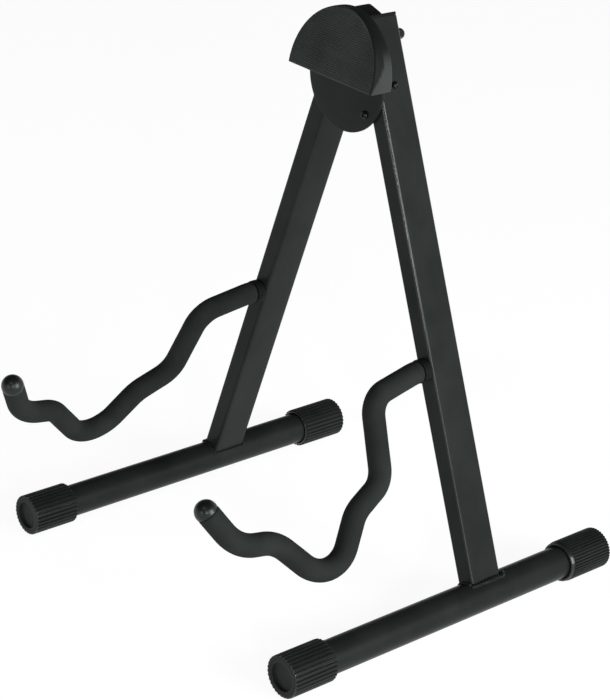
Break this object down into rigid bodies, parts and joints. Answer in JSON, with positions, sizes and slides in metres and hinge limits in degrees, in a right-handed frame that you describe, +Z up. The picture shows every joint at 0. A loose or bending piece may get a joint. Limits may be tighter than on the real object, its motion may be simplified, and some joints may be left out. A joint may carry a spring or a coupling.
{
  "type": "folding guitar stand",
  "caption": "Folding A-frame floor stand: leaning tube legs on ribbed-foot base tubes, foam-covered bent cradle arms and a wedge pad on a round hinge plate.",
  "frame": {"origin": "on the floor, under the middle of the stand's outline", "axes": "+Z up, -Y towards the front where the cradle arms reach out, +X across the stand to the right leg"},
  "size_m": [0.3426, 0.3749, 0.4349],
  "materials": {
    "black_powder_coat": "satin black powder coat on steel",
    "black_rubber": "matte moulded rubber",
    "pad_rubber": "matte moulded rubber with a finely ribbed front",
    "black_foam": "matte closed-cell foam sleeve",
    "gloss_black_plastic": "glossy moulded plastic",
    "black_zinc_steel": "bright black zinc plating",
    "nylon": "natural nylon"
  },
  "bodies": {
    "right_leg": {"right_base_tube": "black_powder_coat", "right_front_foot_cap": "black_rubber", "right_rear_foot_cap": "black_rubber", "right_leg_tube": "black_powder_coat", "right_leg_top_plug": "gloss_black_plastic", "right_arm_rod": "black_powder_coat", "right_arm_foam": "black_foam", "right_arm_collar": "black_rubber", "right_arm_tip": "gloss_black_plastic", "hinge_disc": "black_powder_coat", "backrest_pad": "pad_rubber", "right_pivot_bolt": "black_zinc_steel", "right_pivot_washer": "black_zinc_steel", "right_domed_nut": "black_zinc_steel", "left_pivot_bolt": "black_zinc_steel", "left_pivot_washer": "black_zinc_steel", "left_domed_nut": "black_zinc_steel", "hinge_bracket": "black_powder_coat", "disc_screw": "black_zinc_steel", "bracket_screw": "black_zinc_steel", "bracket_nut": "black_zinc_steel"},
    "left_leg": {"left_base_tube": "black_powder_coat", "left_front_foot_cap": "black_rubber", "left_rear_foot_cap": "black_rubber", "left_leg_tube": "black_powder_coat", "left_leg_top_plug": "gloss_black_plastic", "left_arm_rod": "black_powder_coat", "left_arm_foam": "black_foam", "left_arm_collar": "black_rubber", "left_arm_tip": "gloss_black_plastic", "left_pivot_bush": "nylon"}
  },
  "joints": [
    {"name": "left_leg_fold", "type": "hinge", "parent": "right_leg", "child": "left_leg", "pos_m": [-0.01275, 0.06155, 0.41107], "axis": [0, -1, 0], "range_deg": [0, 38.6]}
  ]
}
